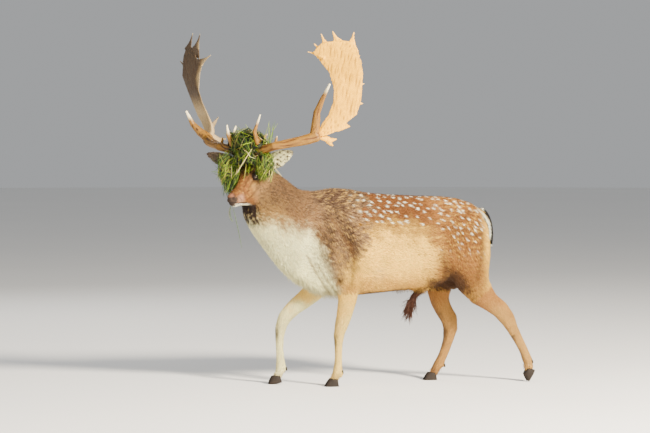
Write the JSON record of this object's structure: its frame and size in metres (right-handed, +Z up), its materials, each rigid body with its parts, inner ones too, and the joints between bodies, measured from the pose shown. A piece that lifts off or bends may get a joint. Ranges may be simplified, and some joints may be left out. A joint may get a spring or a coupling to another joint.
{
  "type": "fallow deer",
  "caption": "Life-size still model of a fallow deer buck at the walk, its head turned to its left, with palmed antlers and a tangle of grass caught on them.",
  "frame": {"origin": "on the floor, under the middle of the whole part's box", "axes": "+Z up, the head towards -X, the buck's left side towards -Y"},
  "size_m": [1.5946, 0.8758, 1.6182],
  "materials": {
    "coat": "short reddish-brown coat with white spots, pale below",
    "leg_coat": "short pale buff coat",
    "dark_hair": "long dark hair, white on the tail's underside",
    "antler": "grooved bone, worn pale at the points",
    "hoof": "dark horn",
    "nose": "moist bare skin",
    "eye": "wet dark eye",
    "grass": "fresh blades and a few dry stalks"
  },
  "bodies": {
    "root": {"head": "coat", "neck_upper": "coat", "neck_lower": "coat", "trunk": "coat", "ear_left": "coat", "ear_right": "coat", "shoulder_fore_left": "coat", "forearm_fore_left": "leg_coat", "cannon_fore_left": "leg_coat", "hoof_fore_left": "hoof", "shoulder_fore_right": "coat", "forearm_fore_right": "leg_coat", "cannon_fore_right": "leg_coat", "hoof_fore_right": "hoof", "thigh_hind_left": "coat", "gaskin_hind_left": "leg_coat", "cannon_hind_left": "leg_coat", "hoof_hind_left": "hoof", "thigh_hind_right": "coat", "gaskin_hind_right": "leg_coat", "cannon_hind_right": "leg_coat", "hoof_hind_right": "hoof", "tail": "dark_hair", "sheath": "dark_hair", "nose": "nose", "eye_left": "eye", "eye_right": "eye", "antler_left_beam": "antler", "antler_left_brow_tine": "antler", "antler_left_trez_tine": "antler", "antler_left_palm": "antler", "antler_right_beam": "antler", "antler_right_brow_tine": "antler", "antler_right_trez_tine": "antler", "antler_right_palm": "antler", "grass_tangle": "grass"}
  },
  "joints": []
}
